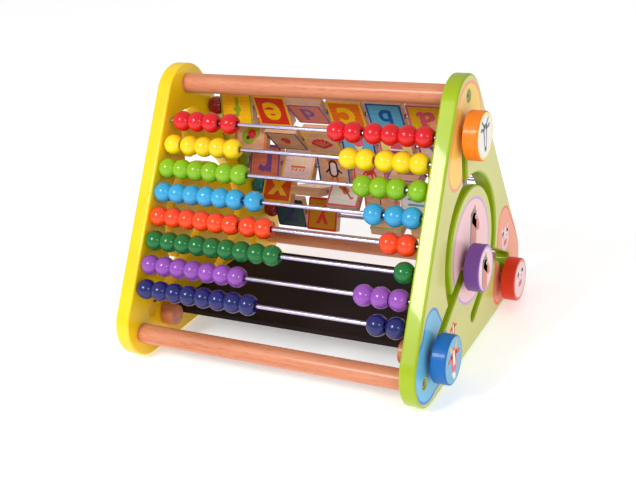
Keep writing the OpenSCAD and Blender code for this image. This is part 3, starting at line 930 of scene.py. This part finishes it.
# %% The pictures: border, ground, films
STAR = [("orange", *[(0, 0, 4, 12.5 * math.sin(math.tau * i / 5), 12.5 * math.cos(math.tau * i / 5),
                      1.2) for i in range(5)]), ("yellow", dot(0, 0, 5.6))]
SUN = [("orange", *[(0, 0, 1.6, 13 * math.sin(math.tau * i / 10), 13 * math.cos(math.tau * i / 10),
                     0.8) for i in range(10)]), ("yellow", dot(0, 0, 7.5)),
       ("red", dot(-2.6, 1.6, 0.9), dot(2.6, 1.6, 0.9), (-2.4, -2.8, 0.5, 2.4, -2.8, 0.5))]
PICTURES = {
    "a": ("pink", "straw", [("red", (-2.6, -2, 7.4, 2.6, -2, 7.4)), ("brown", (0, 4, 0.7, 1, 9, 0.7)),
                            ("leaf", (2, 8, 1, 7, 10, 2.2))]),
    "b": ("blue", "wood", [("blue", dot(0, 0, 10)), ("yellow", (-8, 0, 1.6, 8, 0, 1.6)),
                           ("white", dot(0, 0, 3.4))]),
    "c": ("yellow", "wood", [("orange", dot(0, -1, 9), (-6, 5, 2.6, -8, 10, 1), (6, 5, 2.6, 8, 10, 1)),
                             ("black", dot(-3.2, 1, 1), dot(3.2, 1, 1), dot(0, -3, 1.2))]),
    "d": ("purple", "wood", [("yellow", (-5, -4, 6.4, 4, -4, 5), dot(6, 5, 4.6)),
                             ("orange", (10, 5, 1.6, 13, 5, 0.9)), ("black", dot(7, 6, 0.9))]),
    "e": ("yellow", "wood", [("brown", (-7, -8, 4, 7, -8, 4)), ("blush", (0, -3, 8, 0, 5, 5.6))]),
    "f": ("leaf", "wood", [("orange", (-4, 0, 7, 7, 0, 2), (8, 0, 1, 12, 5, 2), (8, 0, 1, 12, -5, 2)),
                           ("black", dot(-6, 2, 1.1))]),
    "g": ("red", "blush", [("purple", *[dot(x, 4 - 4.4 * row, 2.8) for row in range(3)
                                        for x in range(row - 2, 3, 2) for x in (x * 2.4,)]),
                           ("leaf", (0, 8, 2, 6, 11, 2.4))]),
    "h": ("pink", "straw", [("pink", (-11, -5, 1.6, 11, -5, 1.6), (0, -2, 7, 0, 3, 6)),
                            ("white", (-7, -2.6, 1, 7, -2.6, 1))]),
    "i": ("navy", "sky", [("straw", (0, -12, 0.8, 0, -1, 5)), ("pink", dot(0, 4, 6.4)),
                          ("red", dot(0, 11, 1.8))]),
    "j": ("yellow", "wood", [("red", *[(0, -7, 2, 11 * math.sin(a), 11 * math.cos(a) - 6, 2.9)
                                       for a in (-1.1, -0.66, -0.22, 0.22, 0.66, 1.1)]),
                             ("salmon", *[(0, -6, 0.7, 10 * math.sin(a), 10 * math.cos(a) - 6, 1)
                                          for a in (-0.88, -0.44, 0, 0.44, 0.88)])]),
    "k": ("forest", "wood", [("red", (0, 2, 6, 0, -3, 3)), ("yellow", (0, -6, 0.6, 6, -13, 0.6))]),
    "l": ("orange", "wood", [("leaf", (-3, -2, 8.6, 3, 3, 8)), ("red", dot(1, 1, 5.8)),
                             ("black", dot(-3.6, -3.4, 2.2),
                              *[dot(1 + 3 * math.cos(a), 1 + 3 * math.sin(a), 0.9) for a in range(6)])]),
    "m": ("orange", "wood", [("straw", (0, -10, 3.4, 0, 0, 2.8)), ("red", (-4, 3, 5.6, 4, 3, 5.6)),
                             ("white", dot(-4, 4, 1.5), dot(3, 6, 1.3), dot(5, 1, 1.2))]),
    "n": ("purple", "wood", [("sky", dot(-5, 1, 3.6), dot(0, 3, 3.6), dot(5, 1, 3.6)),
                             ("brown", (-7, -4, 4, 7, -4, 4))]),
    "o": ("red", "wood", [("red", (0, 5, 6.6, 0, 1, 5), *[(x, 0, 1.5, 2 * x, -10, 1.1)
                                                         for x in (-5, -2, 2, 5)]),
                          ("white", dot(-2.4, 5, 1.5), dot(2.4, 5, 1.5))]),
    "p": ("blue", "wood", [("orange", (-5, 11, 2, 5, 11, 2), (-3, -13, 1.6, -3, -10, 1.4),
                            (3, -13, 1.6, 3, -10, 1.4)),
                           ("black", (0, -4, 5.8, 0, 6, 5.4), (-4, 1, 1.2, -9, -4, 1),
                            (4, 1, 1.2, 9, -4, 1)),
                           ("blush", (0, -4, 3.6, 0, 5, 3.4))]),
    "q": ("yellow", "blush", [("straw", (-8, 0, 1.4, -8, 7, 0.8), (8, 0, 1.4, 8, 7, 0.8),
                               (0, 0, 2, 0, 9, 0.8)),
                              ("orange", (-8, -4, 1.2, 8, -4, 1.2), *[(x, -8, 0.8, x + 1, -6, 0.6)
                                                                     for x in (-7, -2, 3, 7)]),
                              ("pink", dot(0, 10, 1.2), dot(-8, 8, 1), dot(8, 8, 1))]),
    "r": ("purple", "wood", [("grey", (0, -7, 4, 0, 6, 3)), ("red", (0, 8, 2.6, 0, 13, 0.8),
                             (-4, -8, 1.4, -7, -11, 1.4), (4, -8, 1.4, 7, -11, 1.4)),
                             ("sky", dot(0, 2, 1.9))]),
    "s": ("sky", "wood", [("straw", (-8, -8, 2, 9, -8, 2), (8, -8, 2, 10, -1, 1.6)),
                          ("brown", dot(-1, -1, 7)), ("salmon", dot(-1, -1, 4)),
                          ("brown", dot(-1, -1, 1.8))]),
    "t": ("blush", "white", [("sky", (-9, 3, 1.4, 9, 3, 1.4), (-9, -4, 1.4, 9, -4, 1.4)),
                             ("pink", (-6, 8, 1, 6, 8, 1))]),
    "u": ("pink", "wood", [("brown", (0, -11, 0.8, 0, 4, 0.8)), ("orange", (-7, 3, 3.6, 7, 3, 3.6)),
                           ("sky", (-4, 5, 2.8, 4, 5, 2.8)), ("leaf", (-1, 8, 1.4, 1, 8, 1.4))]),
    "v": ("pink", "white", [("orange", (-5, 6, 4.6, -2, 3, 3), (-1, 2, 3.2, 1, 0, 4)),
                            ("brown", (-3, 4, 0.9, 10, -9, 0.8)), ("salmon", (9, -8, 1.6, 11, -8, 1.4)),
                            ("black", dot(-7, 11, 1.6))]),
    "w": ("yellow", "wood", [("sky", (-3, -2, 7, 6, -1, 3), (8, 1, 1, 12, 6, 1.8)),
                             ("white", (-7, -5, 1.6, 0, -6, 1.6)), ("black", dot(-6, 0, 0.9))]),
    "x": ("yellow", "wood", [("red", (-8, -8, 1.8, -8, 8, 1.8)), ("yellow", (-3, -6.6, 1.8, -3, 6.6, 1.8)),
                             ("leaf", (2.4, -5, 1.8, 2.4, 5, 1.8)), ("blue", (8, -3.6, 1.8, 8, 3.6, 1.8))]),
    "y": ("red", "wood", [("red", (-6, -8, 2.4, 6, -8, 2.4)), ("white", (-1, -3, 1.4, -1, 9, 0.6),
                          (3, -3, 2.6, 0, 6, 0.8))]),
    "z": ("navy", "wood", [("white", (0, 5, 6, 0, -8, 4)), ("black", *[(-4, y, 0.9, 4, y + 1, 0.9)
                                                                       for y in (-9, -5, -1, 3, 7)])]),
    "star": ("leaf", "wood", STAR), "sun": ("yellow", "wood", SUN),
}
LETTER_INWARD = set("abcdefrxyz")

# %% Print and hang the tiles


def turn_of(node_name):
    """The direction that a hung tile's outer side faces, from the broadest faces of its node."""
    broad = Vector((0, 0, 0))
    for face in nodes[node_name].data.polygons:
        if abs(face.normal.x) < 0.01:
            way = face.normal if face.normal.y > 0 else -face.normal
            if face.area > tile_w ** 2 / 8:
                broad += way * face.area
    return broad.normalized()


for name, (picture_border, picture_ground, films) in PICTURES.items():
    node_name = "tile_" + name
    palette = Palette(TILE_WOOD)
    bm = bmesh.new()
    bm.from_mesh(blank_mesh)
    out, back = Vector((0, TILE_T / 2, 0)), Vector((0, -TILE_T / 2, 0))
    front_plane, back_plane = put_plane(out, (-1, 0, 0), (0, 0, 1)), put_plane(back, (1, 0, 0), (0, 0, 1))
    print_face(bm, -1, palette.number(picture_border), palette.number(picture_ground))
    if name in LETTER_INKS:
        ground, letter_ink = LETTER_INKS[name]
        print_face(bm, 1, palette.number(letter_ink), palette.number(ground))
        add_letter(bm, name, front_plane, palette.number(letter_ink))
    else:
        print_face(bm, 1, palette.number(picture_border), palette.number("straw"))
        add_picture(bm, films, front_plane, palette)
    add_picture(bm, films, back_plane, palette)
    out_way = turn_of(node_name)
    angle = math.atan2(out_way.z, out_way.y)
    flip = math.pi if name in LETTER_INWARD else 0
    low, high, middle = box(node_name)
    hang = Matrix.Translation(middle) @ Matrix.Rotation(angle + flip, 4, "X")
    bmesh.ops.transform(bm, matrix=hang, verts=bm.verts)
    finish_piece(name + "_tile", bm, body_of(node_name), palette.materials, [node_name])
bpy.data.meshes.remove(blank_mesh)
print("hung", len(PICTURES), "tiles with", len(inks), "inks")

# %% [markdown]
# ## The studio
# A wide pale floor with a faint glow, like a light table, and a white world fill the shadows. A
# soft box high on the left front makes the highlights on beads, dowels and the green panel's front
# edge. A smaller one on the right gives each bead its second, weaker highlight.

# %% Floor, world, lights and camera
FLOOR_HALF, FLOOR_GREY, FLOOR_GLOW, WORLD_LIGHT = 12, 0.93, 0.42, 0.58
bm = bmesh.new()
bmesh.ops.create_grid(bm, x_segments=1, y_segments=1, size=FLOOR_HALF)
floor_mesh = bpy.data.meshes.new("floor")
bm.to_mesh(floor_mesh)
bm.free()
floor = bpy.data.objects.new("floor", floor_mesh)
bpy.context.scene.collection.objects.link(floor)
material, tree, shader, place = new_finish("floor paper", 0.9)
feed(tree, shader, Base_Color=(FLOOR_GREY, FLOOR_GREY, FLOOR_GREY, 1),
     Emission_Color=(1, 1, 1, 1), Emission_Strength=FLOOR_GLOW)
floor_mesh.materials.append(material)

world = bpy.data.worlds.new("studio")
world.use_nodes = True
feed(world.node_tree, world.node_tree.nodes["Background"], Color=(1, 1, 1, 1),
     Strength=WORLD_LIGHT)
bpy.context.scene.world = world
bpy.context.scene.view_settings.view_transform = "Standard"


def soft_box(name, at, size, watts, look_at=(0, 0, 0.13)):
    light = bpy.data.lights.new(name, "AREA")
    light.shape, light.size, light.energy = "SQUARE", size, watts
    lamp = bpy.data.objects.new(name, light)
    lamp.location = at
    lamp.rotation_mode = "QUATERNION"
    lamp.rotation_quaternion = (Vector(look_at) - Vector(at)).to_track_quat("-Z", "Y")
    bpy.context.scene.collection.objects.link(lamp)


soft_box("key", (-0.50, -1.35, 1.15), 0.42, 15)
soft_box("right fill", (1.2, -1.1, 0.9), 0.3, 4)

camera_data = bpy.data.cameras.new("camera")
camera_data.lens, camera_data.sensor_width = 57.52, 36
camera = bpy.data.objects.new("camera", camera_data)
heading, tilt, roll = math.radians(28.508), math.radians(90 - 22.611), math.radians(-4.922)
camera.matrix_world = (Matrix.Translation((0.4597, -0.8593, 0.4998))
                       @ Matrix.Rotation(heading, 4, "Z") @ Matrix.Rotation(tilt, 4, "X")
                       @ Matrix.Rotation(roll, 4, "Z"))
camera_data.clip_start = 0.01
bpy.context.scene.collection.objects.link(camera)
bpy.context.scene.camera = camera
